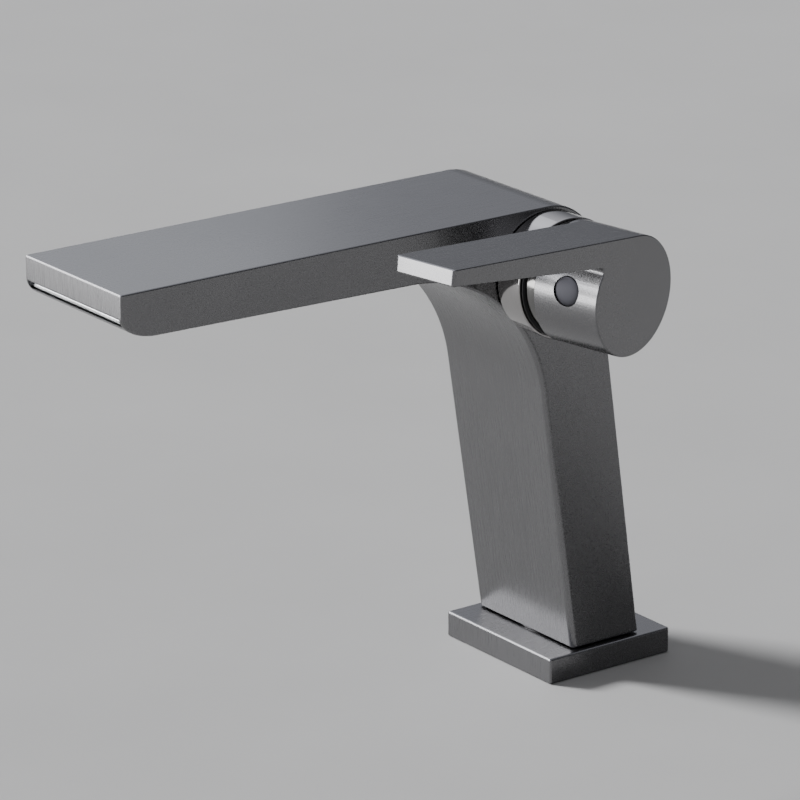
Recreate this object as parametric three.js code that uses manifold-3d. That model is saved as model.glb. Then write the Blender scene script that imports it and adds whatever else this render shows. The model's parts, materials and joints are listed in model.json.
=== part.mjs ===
// Single-lever basin mixer with a flat waterfall spout and a side handle.
//
// Millimetres. The origin is the centre of the base flange's underside, on the deck.
// +Z is up, the spout points to -Y and the handle sits on the +X side.
// The handle is drawn part-way open: its tip is swung out from the body and slightly raised.

import * as THREE from 'three';
import { mergeVertices } from 'three/addons/utils/BufferGeometryUtils.js';
import Module from 'manifold-3d';

const wasm = await Module();
wasm.setup();

// ---------------------------------------------------------------- driving dimensions

const GAP = 0.3; // space kept between pieces that touch
const EDGE = 0.6; // chamfer on the visible edges
const REACH_THROUGH = 1; // how far a cutting solid runs past the face that it cuts

const ROUND_LARGE = 48; // sides on the handle hub and collar
const ROUND_MEDIUM = 28; // sides on the cartridge parts
const ROUND_CAP = 24; // sides on the screw cap and its pocket
const ROUND_RING = 16; // sides around the inlets' O-rings
const ROUND_SMALL = 12; // sides on ports, pins and threads
const HEX_SIDES = 6;
const RING_SIDES = 6; // sides on an O-ring's section
const BALL_BANDS = 8; // bands on the stem's ball
const DOME_STEPS = 4; // bands on the dome
const BODY_ARC_STEPS = 14; // steps on each curve of the body's outline
const HANDLE_ARC_STEPS = 18; // steps on each curve of the handle's outline
const WASHER_ARC_STEPS = 14; // steps on a horseshoe washer's round side

// Base flange
const BASE_WIDTH = 50;
const BASE_DEPTH = 45;
const BASE_HEIGHT = 8;

// Column and spout, as one side outline that widens a little towards the top
const FOOT_WIDTH = 45.4;
const SPOUT_WIDTH = 47.6;
const COLUMN_DEPTH = 24.6;
const COLUMN_LEAN = THREE.MathUtils.degToRad(8.7);
const SPOUT_REACH = 169;
const SPOUT_TOP = 146;
const SPOUT_UNDERSIDE = 131;
const NOSE_UNDERSIDE = 132.6;
const NOSE_LENGTH = 12; // the nose's round under edge, along the spout
const NOSE_FACE_HEIGHT = 6.5; // the upright part of the nose
const THROAT_RADIUS = 48.5; // the hollow curve between the column and the spout

// The cartridge axis runs along X, through the rounded rear top corner of the body
const AXIS_Y = -24.4;
const AXIS_Z = 127;
const SHOULDER_RADIUS = SPOUT_TOP - AXIS_Z;

// Handle, in its own frame: x along the hub's axis, -y along the blade
const PIVOT_X = 34.7;
const HANDLE_SWING = THREE.MathUtils.degToRad(14.3); // how far open the handle stands
const HANDLE_RAISE = THREE.MathUtils.degToRad(6.6); // how far its tip is turned up
const HANDLE_TRAVEL = THREE.MathUtils.degToRad(25); // from closed to fully open
const HUB_RADIUS = 17.6;
const HUB_START = 0.5;
const HUB_END = 22.5;
const HUB_BORE = 16.6;
const HUB_BORE_DEPTH = 16;
const HUB_FACE = 2.3; // thickness of the hub's closed end
const HUB_RELIEF = 7.5; // how far the rim steps back behind, to clear the collar when open
const BLADE_START = 2.2;
const BLADE_LENGTH = 83.8;
const BLADE_TIP = 4.7;
const BLADE_ROOT = 7.7; // thickness where the blade's underside meets the hub
const BLADE_FILLET = 1.6; // radius of the inside corner there
const BOSS_RADIUS = 6.5;
const BOSS_START = 9.5;
const SCREW_X = 11.6;
const SCREW_Z = 1.2;
const SCREW_RADIUS = 2.3;
const SCREW_LENGTH = 6;
const SCREW_SOCKET_RADIUS = 1.3;
const SCREW_SOCKET_DEPTH = 2.5;
const CAP_RADIUS = 4.2;
const CAP_LENGTH = 2.8;
const CAP_INSET = 0.2; // how far the cap's face lies inside the hub's outer radius
const CAP_POCKET_FLOOR = 14; // radius at which the cap's pocket ends

// Collar and dome around the cartridge, along X
const COLLAR_RADIUS = 17.9;
const COLLAR_BORE = 15.3;
const COLLAR_END = 34;
const WASHER_THICKNESS = 0.4;
const WASHER_RADIUS = 17.1;
const WASHER_END = COLLAR_END + GAP + WASHER_THICKNESS;
const NECK_RADIUS = 15;
const NECK_END = 31.6;
const DOME_RADIUS = 16.2;
const DOME_WALL = 1.5;
const DOME_HEIGHT = 8;
const DOME_SKIRT_BORE = 13.5;
const DOME_SKIRT_START = 32;

// Cartridge, along X
const CHAMBER_RADIUS = 13.2;
const CHAMBER_FLOOR = 2.4;
const CARTRIDGE_RADIUS = 12.5;
const BASE_PLATE_START = CHAMBER_FLOOR + 2 * GAP;
const BASE_PLATE_END = 7.7;
const DISC_THICKNESS = 3;
const FIXED_DISC_START = BASE_PLATE_END + GAP;
const MOVING_DISC_START = FIXED_DISC_START + DISC_THICKNESS + GAP;
const DRIVER_START = MOVING_DISC_START + DISC_THICKNESS + GAP;
const DRIVER_END = 27.4;
const NUT_END = 34;
const HOUSING_SHOULDER = 30;
const HOUSING_BORE = 11.6;
const HOUSING_END = 38.2;
const HOUSING_NECK_RADIUS = 9.3;
const HOUSING_NECK_BORE = 8.6;
const CARRIER_FLANGE_END = 28.3;
const CARRIER_END = 37.6;
const STEM_WIDTH = 7;
const ARM_LENGTH = 9; // pivot to the centre of the stem's ball
const ARM_RADIUS = 2.1;
const BALL_RADIUS = 2.8;
const PIN_RADIUS = 1.1;

// Water ports on the chamber floor, as offsets from the cartridge axis
const PORTS = {
  hot: { y: 4.5, z: 5.5 },
  cold: { y: 4.5, z: -5.5 },
  mixed: { y: -7, z: 0 },
};
const PORT_RADIUS = 2.6;
const PORT_SEAL_RADIUS = 4.1;
const LOCATING_PINS = [{ y: -4, z: 9.4 }, { y: -4, z: -9.4 }];
const LOCATING_PIN_RADIUS = 1.2;

// Waterways in the body
const DUCT_RADIUS = 3.4;
const DUCT_TOP_X = { hot: -12, cold: -4.5 };
const CHANNEL_WIDTH = 32;
const CHANNEL_LOW = 135;
const CHANNEL_HIGH = 141.5;
const CHANNEL_REAR = -40;
const MOUTH_WIDTH = 45.4;
const MOUTH_LOW = 136.5;
const MOUTH_HIGH = 139;
const MOUTH_DEPTH = 11;
const LIP_THICKNESS = 1.3;

// Foot and deck fixings
const FOOT_RADIUS = 12;
const FOOT_BOTTOM = -6;
const INLET_X = 6.2;
const INLET_THREAD = 4.6;
const STUD_RADIUS = 3;
const STUD_Y = -8.5;
const STUD_BOTTOM = -62;
const STUD_HOLE_TOP = 4;
const DECK_THICKNESS = 25;
const RUBBER_WASHER_THICKNESS = 3;
const STEEL_WASHER_THICKNESS = 2;

// ---------------------------------------------------------------- solids and booleans

// A three.js geometry as a manifold solid, facing outwards.
function solid(geometry) {
  const plain = geometry.index ? geometry.toNonIndexed() : geometry.clone();
  plain.deleteAttribute('normal');
  plain.deleteAttribute('uv');
  const merged = mergeVertices(plain, 1e-4);
  const points = merged.attributes.position.array;
  const corners = merged.index.array;
  const kept = [];
  let volume = 0;
  const a = new THREE.Vector3();
  const b = new THREE.Vector3();
  const c = new THREE.Vector3();
  for (let i = 0; i < corners.length; i += 3) {
    const [p, q, r] = [corners[i], corners[i + 1], corners[i + 2]];
    if (p === q || q === r || r === p) continue;
    kept.push(p, q, r);
    a.fromArray(points, 3 * p);
    b.fromArray(points, 3 * q);
    c.fromArray(points, 3 * r);
    volume += a.dot(b.cross(c));
  }
  if (volume < 0) kept.reverse();
  const mesh = new wasm.Mesh({
    numProp: 3,
    vertProperties: new Float32Array(points),
    triVerts: new Uint32Array(kept),
  });
  return new wasm.Manifold(mesh);
}

// A manifold solid as a three.js geometry.
function geometryOf(manifold) {
  const mesh = manifold.getMesh();
  const geometry = new THREE.BufferGeometry();
  geometry.setAttribute('position', new THREE.BufferAttribute(mesh.vertProperties, 3));
  geometry.setIndex(new THREE.BufferAttribute(mesh.triVerts, 1));
  geometry.computeVertexNormals();
  return geometry;
}

function cut(target, ...tools) {
  return tools.reduce((result, tool) => result.subtract(tool), target);
}

function join(target, ...others) {
  return others.reduce((result, other) => result.add(other), target);
}

// ---------------------------------------------------------------- shapes

const ALONG_X = new THREE.Matrix4().makeBasis(
  new THREE.Vector3(0, 1, 0),
  new THREE.Vector3(1, 0, 0),
  new THREE.Vector3(0, 0, -1),
);
const ALONG_Z = new THREE.Matrix4().makeRotationX(Math.PI / 2);
const SIDE_OUTLINE = new THREE.Matrix4().makeBasis(
  new THREE.Vector3(0, 1, 0),
  new THREE.Vector3(0, 0, 1),
  new THREE.Vector3(1, 0, 0),
);

// A turned shape about the X axis. The profile lists [radius, x], counterclockwise.
function turnedX(profile, sides) {
  const points = profile.map(([radius, x]) => new THREE.Vector2(radius, x));
  return new THREE.LatheGeometry(points, sides).applyMatrix4(ALONG_X);
}

// A turned shape about the Z axis. The profile lists [radius, z], counterclockwise.
function turnedZ(profile, sides) {
  const points = profile.map(([radius, z]) => new THREE.Vector2(radius, z));
  return new THREE.LatheGeometry(points, sides).applyMatrix4(ALONG_Z);
}

// A closed profile for a plain tube with small chamfers outside.
function tubeProfile(inner, outer, from, to, chamfer = 0) {
  const profile = [
    [inner, from],
    [outer - chamfer, from],
    [outer, from + chamfer],
    [outer, to - chamfer],
    [outer - chamfer, to],
    [inner, to],
    [inner, from],
  ];
  return chamfer > 0 ? profile : [profile[0], [outer, from], [outer, to], profile[5], profile[6]];
}

// A closed profile for a solid rod.
function rodProfile(radius, from, to) {
  return [[0, from], [radius, from], [radius, to], [0, to]];
}

// A closed round profile for an O-ring.
function ringProfile(radius, section, at) {
  const profile = [];
  for (let i = 0; i <= RING_SIDES; i += 1) {
    const angle = (2 * Math.PI * (i % RING_SIDES)) / RING_SIDES;
    profile.push([radius + section * Math.cos(angle), at + section * Math.sin(angle)]);
  }
  return profile;
}

function rodX(radius, from, to, y = 0, z = 0, sides = ROUND_SMALL) {
  return solid(turnedX(rodProfile(radius, from, to), sides).translate(0, y, z));
}

function rodZ(radius, from, to, x = 0, y = 0, sides = ROUND_SMALL) {
  return solid(turnedZ(rodProfile(radius, from, to), sides).translate(x, y, 0));
}

// A straight round bore between two points.
function bore(radius, from, to, sides = ROUND_SMALL) {
  const start = new THREE.Vector3(...from);
  const run = new THREE.Vector3(...to).sub(start);
  const geometry = new THREE.CylinderGeometry(radius, radius, run.length(), sides);
  geometry.translate(0, run.length() / 2, 0);
  const up = new THREE.Vector3(0, 1, 0);
  geometry.applyQuaternion(new THREE.Quaternion().setFromUnitVectors(up, run.clone().normalize()));
  geometry.translate(start.x, start.y, start.z);
  return solid(geometry);
}

// A box between two corners.
function block(low, high) {
  const size = high.map((value, i) => value - low[i]);
  const geometry = new THREE.BoxGeometry(...size);
  geometry.translate(...low.map((value, i) => value + size[i] / 2));
  return solid(geometry);
}

// A side outline, drawn in y and z, given a thickness from x = from to x = to with chamfers.
function sidewaysGeometry(shape, from, to, chamfer, curveSegments) {
  const geometry = new THREE.ExtrudeGeometry(shape, {
    depth: to - from - 2 * chamfer,
    curveSegments,
    bevelEnabled: chamfer > 0,
    bevelThickness: chamfer,
    bevelSize: chamfer,
    bevelOffset: -chamfer,
    bevelSegments: 1,
  });
  geometry.translate(0, 0, from + chamfer);
  return geometry.applyMatrix4(SIDE_OUTLINE);
}

function sideways(...settings) {
  return solid(sidewaysGeometry(...settings));
}

// A plan outline, drawn in x and y, given a thickness from z = from to z = to with chamfers.
function upright(shape, from, to, chamfer, curveSegments) {
  const geometry = new THREE.ExtrudeGeometry(shape, {
    depth: to - from - 2 * chamfer,
    curveSegments,
    bevelEnabled: chamfer > 0,
    bevelThickness: chamfer,
    bevelSize: chamfer,
    bevelOffset: -chamfer,
    bevelSegments: 1,
  });
  return solid(geometry.translate(0, 0, from + chamfer));
}

// A rectangle centred on the origin with cut corners.
function cornerCutRectangle(width, depth, corner) {
  const x = width / 2;
  const y = depth / 2;
  return new THREE.Shape([
    new THREE.Vector2(-x + corner, -y),
    new THREE.Vector2(x - corner, -y),
    new THREE.Vector2(x, -y + corner),
    new THREE.Vector2(x, y - corner),
    new THREE.Vector2(x - corner, y),
    new THREE.Vector2(-x + corner, y),
    new THREE.Vector2(-x, y - corner),
    new THREE.Vector2(-x, -y + corner),
  ]);
}

// ---------------------------------------------------------------- scene graph

const faucet = new THREE.Group();

// The carrier's frame turns about X for temperature, and the handle's frame tilts inside it.
const cartridge = new THREE.Group();
cartridge.position.set(0, AXIS_Y, AXIS_Z);
const turning = new THREE.Group();
turning.rotation.x = -HANDLE_RAISE;
const tilting = new THREE.Group();
tilting.position.x = PIVOT_X;
tilting.rotation.z = HANDLE_SWING;
const sliding = new THREE.Group();
const DISC_TRAVEL = ARM_LENGTH * Math.sin(HANDLE_TRAVEL);
sliding.position.y = DISC_TRAVEL / 2 - ARM_LENGTH * Math.sin(HANDLE_SWING);
faucet.add(cartridge);
cartridge.add(turning);
turning.add(tilting, sliding);

const FINISHES = {
  gunmetal: { color: 0x77777c, roughness: 0.32, metalness: 1 },
  satin: { color: 0xb4b2ae, roughness: 0.22, metalness: 1 },
  brass: { color: 0xc2a15c, roughness: 0.4, metalness: 1 },
  steel: { color: 0xa9abad, roughness: 0.35, metalness: 1 },
  rubber: { color: 0x17181a, roughness: 0.8, metalness: 0 },
  plastic: { color: 0xd9d6cc, roughness: 0.5, metalness: 0 },
  darkPlastic: { color: 0x4b4b52, roughness: 0.45, metalness: 0 },
  ceramic: { color: 0xf1efe9, roughness: 0.15, metalness: 0 },
};

function place(parent, name, shape, finish) {
  const geometry = shape.isBufferGeometry ? shape : geometryOf(shape);
  const mesh = new THREE.Mesh(geometry, new THREE.MeshStandardMaterial(FINISHES[finish]));
  mesh.name = name;
  parent.add(mesh);
}

// ---------------------------------------------------------------- body casting

function bodyOutline() {
  const foot = BASE_HEIGHT + GAP;
  const front = -COLUMN_DEPTH / 2;
  const rear = COLUMN_DEPTH / 2;
  const throatZ = SPOUT_UNDERSIDE - THROAT_RADIUS;
  const lean = (THROAT_RADIUS + (throatZ - foot) * Math.sin(COLUMN_LEAN)) / Math.cos(COLUMN_LEAN);
  const throatY = front - lean;
  const noseY = -SPOUT_REACH + NOSE_LENGTH;
  const noseZ = SPOUT_TOP - NOSE_FACE_HEIGHT;

  // The rear face is tangent to the rounded shoulder.
  const away = new THREE.Vector2(AXIS_Y - rear, AXIS_Z - foot);
  const rearLean = Math.atan2(-away.x, away.y) - Math.asin(SHOULDER_RADIUS / away.length());

  const outline = new THREE.Shape();
  outline.moveTo(front, foot);
  outline.lineTo(
    throatY + THROAT_RADIUS * Math.cos(COLUMN_LEAN),
    throatZ + THROAT_RADIUS * Math.sin(COLUMN_LEAN),
  );
  outline.absarc(throatY, throatZ, THROAT_RADIUS, COLUMN_LEAN, Math.PI / 2, false);
  outline.lineTo(noseY, NOSE_UNDERSIDE);
  outline.absellipse(
    noseY, noseZ, NOSE_LENGTH, noseZ - NOSE_UNDERSIDE, 1.5 * Math.PI, Math.PI, true,
  );
  outline.lineTo(-SPOUT_REACH, SPOUT_TOP);
  outline.lineTo(AXIS_Y, SPOUT_TOP);
  outline.absarc(AXIS_Y, AXIS_Z, SHOULDER_RADIUS, Math.PI / 2, rearLean, true);
  outline.lineTo(rear, foot);
  return outline;
}

// The hot and cold bores climb the leaning column and turn into the chamber floor.
function supplyWaterway(name, side) {
  const port = PORTS[name];
  const top = [DUCT_TOP_X[name], AXIS_Y + port.y, AXIS_Z + port.z];
  const inlet = [side * INLET_X, 0, BASE_HEIGHT];
  return [
    bore(DUCT_RADIUS, [inlet[0], 0, BASE_HEIGHT - DUCT_RADIUS], top),
    bore(INLET_THREAD + GAP, [inlet[0], 0, FOOT_BOTTOM - REACH_THROUGH], inlet),
    rodX(PORT_RADIUS, top[0], CHAMBER_FLOOR + REACH_THROUGH, top[1], top[2]),
  ];
}

// The mixed water leaves the chamber floor, rises into a wide channel and reaches the mouth.
function spoutWaterway() {
  const half = CHANNEL_WIDTH / 2;
  const mouthRear = -SPOUT_REACH + MOUTH_DEPTH;
  const portY = AXIS_Y + PORTS.mixed.y;
  const riserWidth = 8;
  const riserRun = 5;
  const riserX = -12;
  return [
    rodX(PORT_RADIUS, riserX + riserWidth / 2, CHAMBER_FLOOR + REACH_THROUGH, portY, AXIS_Z),
    block(
      [riserX, CHANNEL_REAR - riserRun, AXIS_Z - PORT_RADIUS],
      [riserX + riserWidth, portY + PORT_RADIUS, CHANNEL_HIGH],
    ),
    block([-half, mouthRear - REACH_THROUGH, CHANNEL_LOW], [half, CHANNEL_REAR, CHANNEL_HIGH]),
    block(
      [-MOUTH_WIDTH / 2, -SPOUT_REACH - REACH_THROUGH, MOUTH_LOW],
      [MOUTH_WIDTH / 2, mouthRear, MOUTH_HIGH],
    ),
  ];
}

// The casting narrows from the spout's width to the foot's width on its way down.
function narrowedToFoot(geometry) {
  const points = geometry.attributes.position;
  const foot = BASE_HEIGHT + GAP;
  for (let i = 0; i < points.count; i += 1) {
    const width = THREE.MathUtils.mapLinear(
      points.getZ(i), foot, SPOUT_TOP, FOOT_WIDTH, SPOUT_WIDTH,
    );
    points.setX(i, (points.getX(i) * width) / SPOUT_WIDTH);
  }
  return geometry;
}

function makeBody() {
  const half = SPOUT_WIDTH / 2;
  const casting = join(
    solid(narrowedToFoot(sidewaysGeometry(bodyOutline(), -half, half, EDGE, BODY_ARC_STEPS))),
    rodX(NECK_RADIUS, half - EDGE, NECK_END, AXIS_Y, AXIS_Z, ROUND_MEDIUM),
    rodZ(FOOT_RADIUS, FOOT_BOTTOM, BASE_HEIGHT + 2 * EDGE, 0, 0, ROUND_MEDIUM),
  );
  const chamber = rodX(
    CHAMBER_RADIUS, CHAMBER_FLOOR, NECK_END + REACH_THROUGH, AXIS_Y, AXIS_Z, ROUND_MEDIUM,
  );
  const pinHoles = LOCATING_PINS.map((pin) => rodX(
    LOCATING_PIN_RADIUS + GAP, 0, CHAMBER_FLOOR + REACH_THROUGH, AXIS_Y + pin.y, AXIS_Z + pin.z,
  ));
  const studHole = rodZ(STUD_RADIUS + GAP, FOOT_BOTTOM - REACH_THROUGH, STUD_HOLE_TOP, 0, STUD_Y);
  const shaped = cut(
    casting,
    chamber,
    ...pinHoles,
    ...supplyWaterway('hot', -1),
    ...supplyWaterway('cold', 1),
    ...spoutWaterway(),
    studHole,
  );
  place(faucet, 'faucet_body', shaped, 'gunmetal');
}

// ---------------------------------------------------------------- waterfall outlet

function makeOutlet() {
  const lipHalf = MOUTH_WIDTH / 2 - GAP;
  const mouthRear = -SPOUT_REACH + MOUTH_DEPTH;
  const lipSetback = 1.6;
  const lip = block(
    [-lipHalf, -SPOUT_REACH + lipSetback, MOUTH_LOW + GAP],
    [lipHalf, mouthRear - GAP, MOUTH_LOW + GAP + LIP_THICKNESS],
  );
  place(faucet, 'waterfall_lip', lip, 'steel');

  // Upright slots calm the water before it runs over the lip.
  const half = CHANNEL_WIDTH / 2 - GAP;
  const depth = 8;
  const slots = 9;
  const wall = 1;
  const pitch = (2 * half - wall) / slots;
  const low = CHANNEL_LOW + GAP;
  const high = CHANNEL_HIGH - GAP;
  const tools = [];
  for (let i = 0; i < slots; i += 1) {
    const left = -half + wall + i * pitch;
    tools.push(block(
      [left, mouthRear - REACH_THROUGH, low + wall],
      [left + pitch - wall, mouthRear + depth + REACH_THROUGH, high - wall],
    ));
  }
  const comb = cut(block([-half, mouthRear + GAP, low], [half, mouthRear + depth, high]), ...tools);
  place(faucet, 'flow_straightener', comb, 'plastic');
}

// ---------------------------------------------------------------- collar and dome

function makeCollar() {
  const start = SPOUT_WIDTH / 2 + GAP;
  const collar = turnedX(
    tubeProfile(COLLAR_BORE, COLLAR_RADIUS, start, COLLAR_END, EDGE / 2), ROUND_LARGE,
  );
  place(cartridge, 'trim_collar', collar, 'satin');

  const washer = turnedX(
    tubeProfile(COLLAR_BORE, WASHER_RADIUS, COLLAR_END + GAP, WASHER_END), ROUND_LARGE,
  );
  place(cartridge, 'collar_washer', washer, 'rubber');
}

function makeDome() {
  // The dome is part of a sphere about the handle's pivot, so the hub can tilt over it.
  const domeStart = WASHER_END + GAP;
  const profile = [];
  const spherePoint = (radius, height) => [Math.sqrt(radius * radius - height * height), height];
  for (let i = 0; i <= DOME_STEPS; i += 1) {
    const height = THREE.MathUtils.lerp(domeStart - PIVOT_X, DOME_HEIGHT, i / DOME_STEPS);
    const [radius, x] = spherePoint(DOME_RADIUS, height);
    profile.push([radius, PIVOT_X + x]);
  }
  const innerStart = domeStart + DOME_WALL - PIVOT_X;
  for (let i = DOME_STEPS; i >= 0; i -= 1) {
    const height = THREE.MathUtils.lerp(innerStart, DOME_HEIGHT, i / DOME_STEPS);
    const [radius, x] = spherePoint(DOME_RADIUS - DOME_WALL, height);
    profile.push([radius, PIVOT_X + x]);
  }
  profile.push([DOME_SKIRT_BORE, domeStart + DOME_WALL]);
  profile.push([DOME_SKIRT_BORE, DOME_SKIRT_START]);
  profile.push([COLLAR_BORE - GAP, DOME_SKIRT_START]);
  profile.push([COLLAR_BORE - GAP, domeStart]);
  profile.push(profile[0]);
  place(cartridge, 'dome_cover', turnedX(profile, ROUND_LARGE), 'satin');
}

// The nut that holds the cartridge down, with notches for a spanner.
function makeRetainingNut() {
  const notchCount = 4;
  const notchDepth = 2;
  const notchHalf = 1.5;
  const inner = HOUSING_NECK_RADIUS + GAP;
  const outer = CHAMBER_RADIUS - GAP;
  const nut = solid(
    turnedX(tubeProfile(inner, outer, HOUSING_SHOULDER + GAP, NUT_END, EDGE), ROUND_MEDIUM),
  );
  const notches = [];
  for (let i = 0; i < notchCount; i += 1) {
    const notch = block(
      [NUT_END - notchDepth, -notchHalf, inner + EDGE],
      [NUT_END + REACH_THROUGH, notchHalf, outer + REACH_THROUGH],
    );
    notches.push(notch.rotate([(360 * i) / notchCount, 0, 0]));
  }
  place(cartridge, 'retaining_nut', cut(nut, ...notches), 'brass');
}

// ---------------------------------------------------------------- cartridge

function makeCartridgeShell() {
  const housing = turnedX([
    [HOUSING_BORE, FIXED_DISC_START],
    [CARTRIDGE_RADIUS, FIXED_DISC_START],
    [CARTRIDGE_RADIUS, HOUSING_SHOULDER],
    [HOUSING_NECK_RADIUS, HOUSING_SHOULDER],
    [HOUSING_NECK_RADIUS, HOUSING_END],
    [HOUSING_NECK_BORE, HOUSING_END],
    [HOUSING_NECK_BORE, CARRIER_FLANGE_END + GAP],
    [HOUSING_BORE, CARRIER_FLANGE_END + GAP],
    [HOUSING_BORE, FIXED_DISC_START],
  ], ROUND_MEDIUM);
  place(cartridge, 'cartridge_housing', housing, 'plastic');

  const sealDepth = 1.2;
  let base = rodX(CARTRIDGE_RADIUS, BASE_PLATE_START, BASE_PLATE_END, 0, 0, ROUND_MEDIUM);
  for (const pin of LOCATING_PINS) {
    base = join(base, rodX(LOCATING_PIN_RADIUS, GAP, BASE_PLATE_START + EDGE, pin.y, pin.z));
  }
  for (const [name, port] of Object.entries(PORTS)) {
    base = cut(
      base,
      rodX(PORT_RADIUS, 0, BASE_PLATE_END + REACH_THROUGH, port.y, port.z),
      rodX(PORT_SEAL_RADIUS + GAP, 0, BASE_PLATE_START + sealDepth, port.y, port.z),
    );
    const seal = turnedX(
      tubeProfile(
        PORT_RADIUS + GAP, PORT_SEAL_RADIUS, CHAMBER_FLOOR + GAP, BASE_PLATE_START + sealDepth - GAP,
      ),
      ROUND_SMALL,
    );
    place(cartridge, `${name}_port_seal`, seal.translate(0, port.y, port.z), 'rubber');
  }
  place(cartridge, 'cartridge_base', base, 'darkPlastic');
}

function makeCeramicDiscs() {
  const fixedRadius = HOUSING_BORE - GAP;
  const fixedEnd = FIXED_DISC_START + DISC_THICKNESS;
  let fixed = rodX(fixedRadius, FIXED_DISC_START, fixedEnd, 0, 0, ROUND_MEDIUM);
  for (const port of Object.values(PORTS)) {
    fixed = cut(fixed, rodX(PORT_RADIUS, 0, fixedEnd + REACH_THROUGH, port.y, port.z));
  }
  place(cartridge, 'fixed_ceramic_disc', fixed, 'ceramic');

  // A pocket in the moving disc's face joins the ports that it covers.
  const movingRadius = 8;
  const pocketDepth = 1.6;
  const pocketY = 5.5;
  const pocketZ = 3;
  const moving = cut(
    rodX(movingRadius, MOVING_DISC_START, MOVING_DISC_START + DISC_THICKNESS, 0, 0, ROUND_MEDIUM),
    block([0, -pocketY, -pocketZ], [MOVING_DISC_START + pocketDepth, pocketY, pocketZ]),
  );
  place(sliding, 'moving_ceramic_disc', moving, 'ceramic');
}

// The driver carries the moving disc and is pushed by the stem's ball.
function makeDriver() {
  const halfLength = 5.6;
  const halfWidth = 4.6;
  const socketY = -DISC_TRAVEL / 2;
  const socketFloor = 21.5;
  const socketRadius = BALL_RADIUS + 0.35;
  const driver = cut(
    block([DRIVER_START, -halfLength, -halfWidth], [DRIVER_END, halfLength, halfWidth]),
    rodX(socketRadius, socketFloor, DRIVER_END + REACH_THROUGH, socketY, 0, ROUND_SMALL),
  );
  place(sliding, 'disc_driver', driver, 'darkPlastic');
}

// The carrier turns in the housing, guides the driver and holds the stem's pin.
function makeCarrier() {
  const flangeRadius = HOUSING_BORE - GAP;
  const pocketLength = 8.2;
  const pocketWidth = 4.9;
  const slotLength = 6.6;
  const slotClearance = 0.4;
  const slotWidth = STEM_WIDTH / 2 + slotClearance;
  const ringX = 18;
  const ringSection = 0.5;
  const grooveRadius = flangeRadius - 2 * ringSection - GAP / 2;
  const body = solid(turnedX([
    [0, DRIVER_START],
    [flangeRadius, DRIVER_START],
    [flangeRadius, ringX - 2 * ringSection],
    [grooveRadius, ringX - 2 * ringSection],
    [grooveRadius, ringX + 2 * ringSection],
    [flangeRadius, ringX + 2 * ringSection],
    [flangeRadius, CARRIER_FLANGE_END],
    [HOUSING_NECK_BORE - GAP, CARRIER_FLANGE_END],
    [HOUSING_NECK_BORE - GAP, CARRIER_END],
    [0, CARRIER_END],
  ], ROUND_MEDIUM));
  const carrier = cut(
    body,
    block([0, -pocketLength, -pocketWidth], [CARRIER_FLANGE_END - GAP, pocketLength, pocketWidth]),
    block([0, -slotLength, -slotWidth], [CARRIER_END + REACH_THROUGH, slotLength, slotWidth]),
    bore(PIN_RADIUS + GAP, [PIVOT_X, 0, -HOUSING_BORE], [PIVOT_X, 0, HOUSING_BORE]),
  );
  place(turning, 'cartridge_carrier', carrier, 'darkPlastic');

  const ring = turnedX(
    ringProfile(grooveRadius + ringSection + GAP / 2, ringSection, ringX), ROUND_MEDIUM,
  );
  place(turning, 'carrier_o_ring', ring, 'rubber');

  const pinHalf = HOUSING_NECK_BORE - GAP - slotClearance;
  const pin = turnedZ(rodProfile(PIN_RADIUS, -pinHalf, pinHalf), ROUND_SMALL);
  place(turning, 'pivot_pin', pin.translate(PIVOT_X, 0, 0), 'steel');
}

// The stem tilts on the pin: its square end holds the handle and its ball moves the driver.
function makeStem() {
  const half = STEM_WIDTH / 2;
  const squareStart = -3;
  const squareEnd = 18;
  const ball = new THREE.SphereGeometry(BALL_RADIUS, ROUND_SMALL, BALL_BANDS);
  const stem = cut(
    join(
      block([squareStart, -half, -half], [squareEnd, half, half]),
      rodX(ARM_RADIUS, -ARM_LENGTH, squareStart + EDGE),
      solid(ball.translate(-ARM_LENGTH, 0, 0)),
    ),
    bore(PIN_RADIUS + GAP, [0, 0, -STEM_WIDTH], [0, 0, STEM_WIDTH]),
  );
  place(tilting, 'stem', stem, 'brass');
}

// ---------------------------------------------------------------- handle

// The blade's underside runs from the tip to the hub, where a fillet touches both.
function handleOutline() {
  const underside = HUB_RADIUS - BLADE_ROOT;
  const rootY = -Math.sqrt(HUB_RADIUS * HUB_RADIUS - underside * underside);
  const tip = new THREE.Vector2(-BLADE_LENGTH, HUB_RADIUS - BLADE_TIP);
  const along = new THREE.Vector2(rootY, underside).sub(tip).normalize();
  const down = new THREE.Vector2(along.y, -along.x);
  const onLine = tip.clone().addScaledVector(down, BLADE_FILLET);
  const middle = -onLine.dot(along);
  const reach = HUB_RADIUS + BLADE_FILLET;
  const run = middle - Math.sqrt(middle * middle - onLine.lengthSq() + reach * reach);
  const centre = onLine.addScaledVector(along, run);
  const hubAngle = Math.atan2(centre.y, centre.x);
  const fillet = [centre.x, centre.y, BLADE_FILLET];

  const outline = new THREE.Shape();
  outline.moveTo(-BLADE_LENGTH, HUB_RADIUS);
  outline.lineTo(0, HUB_RADIUS);
  outline.absarc(0, 0, HUB_RADIUS, Math.PI / 2, hubAngle - 2 * Math.PI, true);
  outline.absarc(...fillet, hubAngle - Math.PI, Math.atan2(-down.y, -down.x), false);
  outline.lineTo(tip.x, tip.y);
  return outline;
}

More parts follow.
